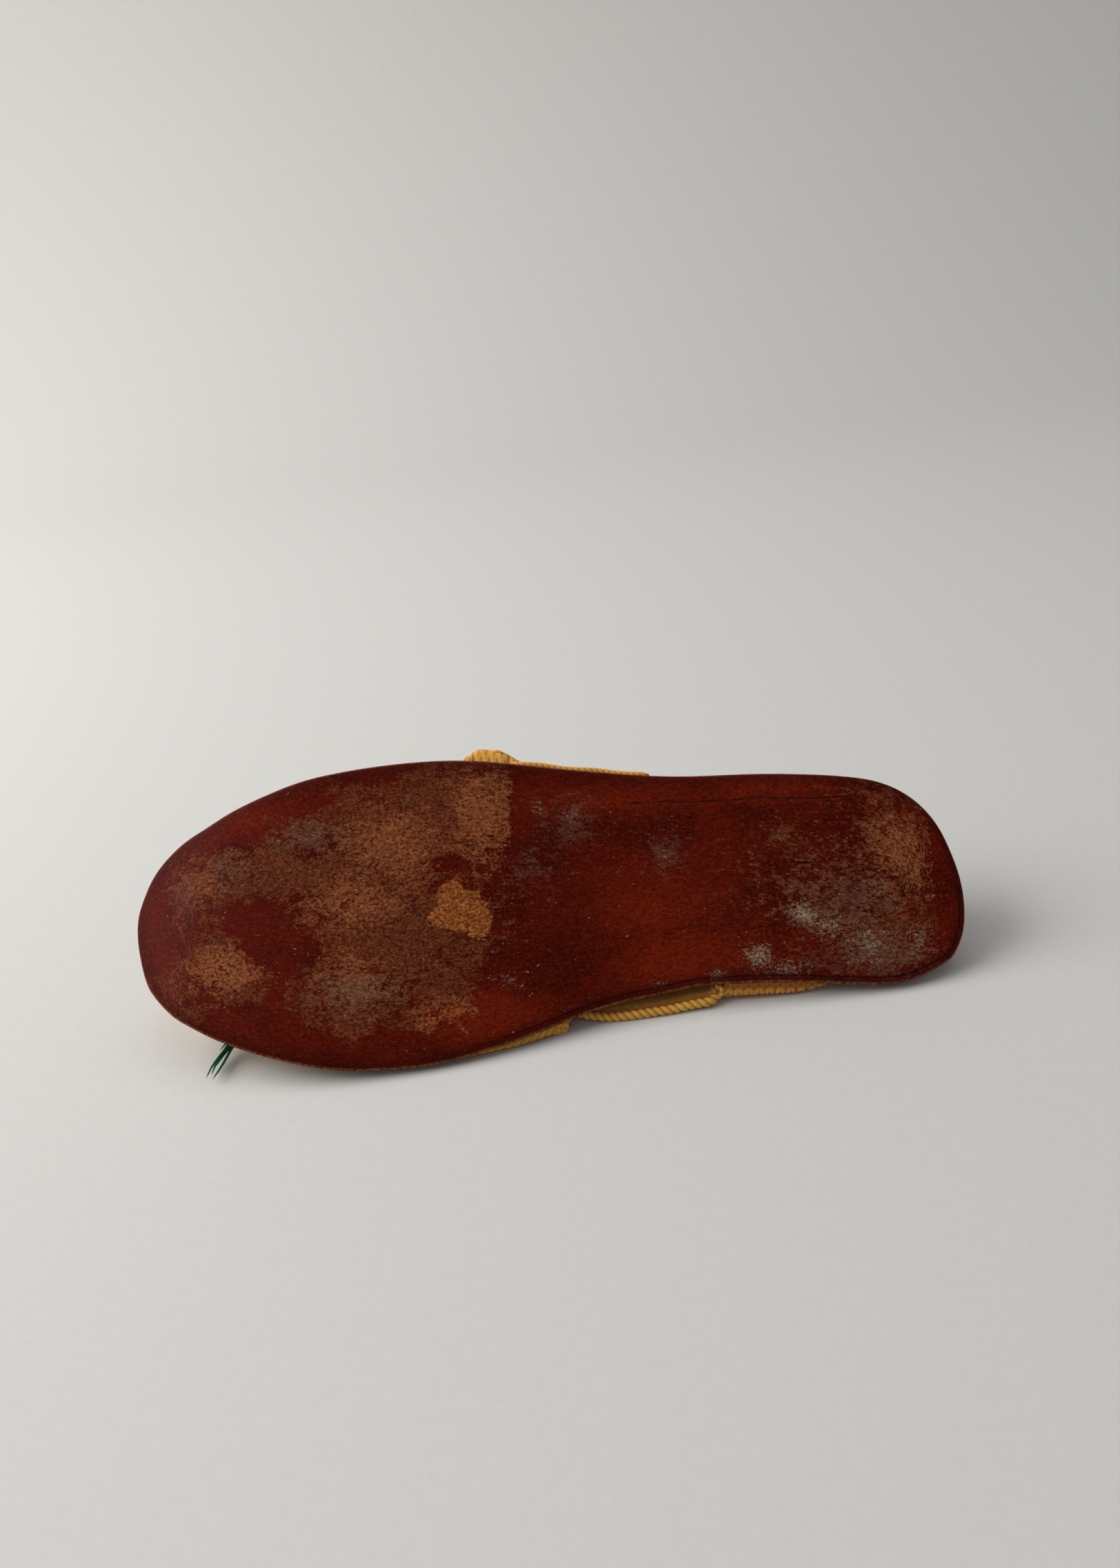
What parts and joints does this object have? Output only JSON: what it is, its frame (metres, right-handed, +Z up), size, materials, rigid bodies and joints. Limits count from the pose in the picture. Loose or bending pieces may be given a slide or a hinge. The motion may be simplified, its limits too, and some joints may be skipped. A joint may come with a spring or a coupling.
{
  "type": "knit sandal",
  "caption": "Flat left sandal with a leather sole and a knitted vamp, slack side straps, wrapped collar rope, rosette, beads and tassel, lying on its arch side.",
  "frame": {"origin": "centre of the bounding box in X and Y, on the floor the sandal lies on", "axes": "+X runs from the toe to the heel, near the longest extent; -Y is the side the sole faces; +Z is up"},
  "size_m": [0.2598, 0.0928, 0.0697],
  "materials": {
    "sole_leather": "worn, satin, scuffed at the ball",
    "pad_suede": "napped suede",
    "knit_yarn": "thick knitted yarn",
    "cord_yarn": "yarn rope with slanting wraps",
    "rosette_thread": "wound thread",
    "bead_clay": "painted fired clay, satin",
    "tassel_wool": "fuzzy wool yarn"
  },
  "bodies": {
    "root": {"sole": "sole_leather", "heel_pad": "pad_suede", "upper": "knit_yarn", "collar_cord": "cord_yarn", "medallion": "rosette_thread", "bead_round": "bead_clay", "bead_barrel": "bead_clay", "tassel": "tassel_wool"}
  },
  "joints": []
}
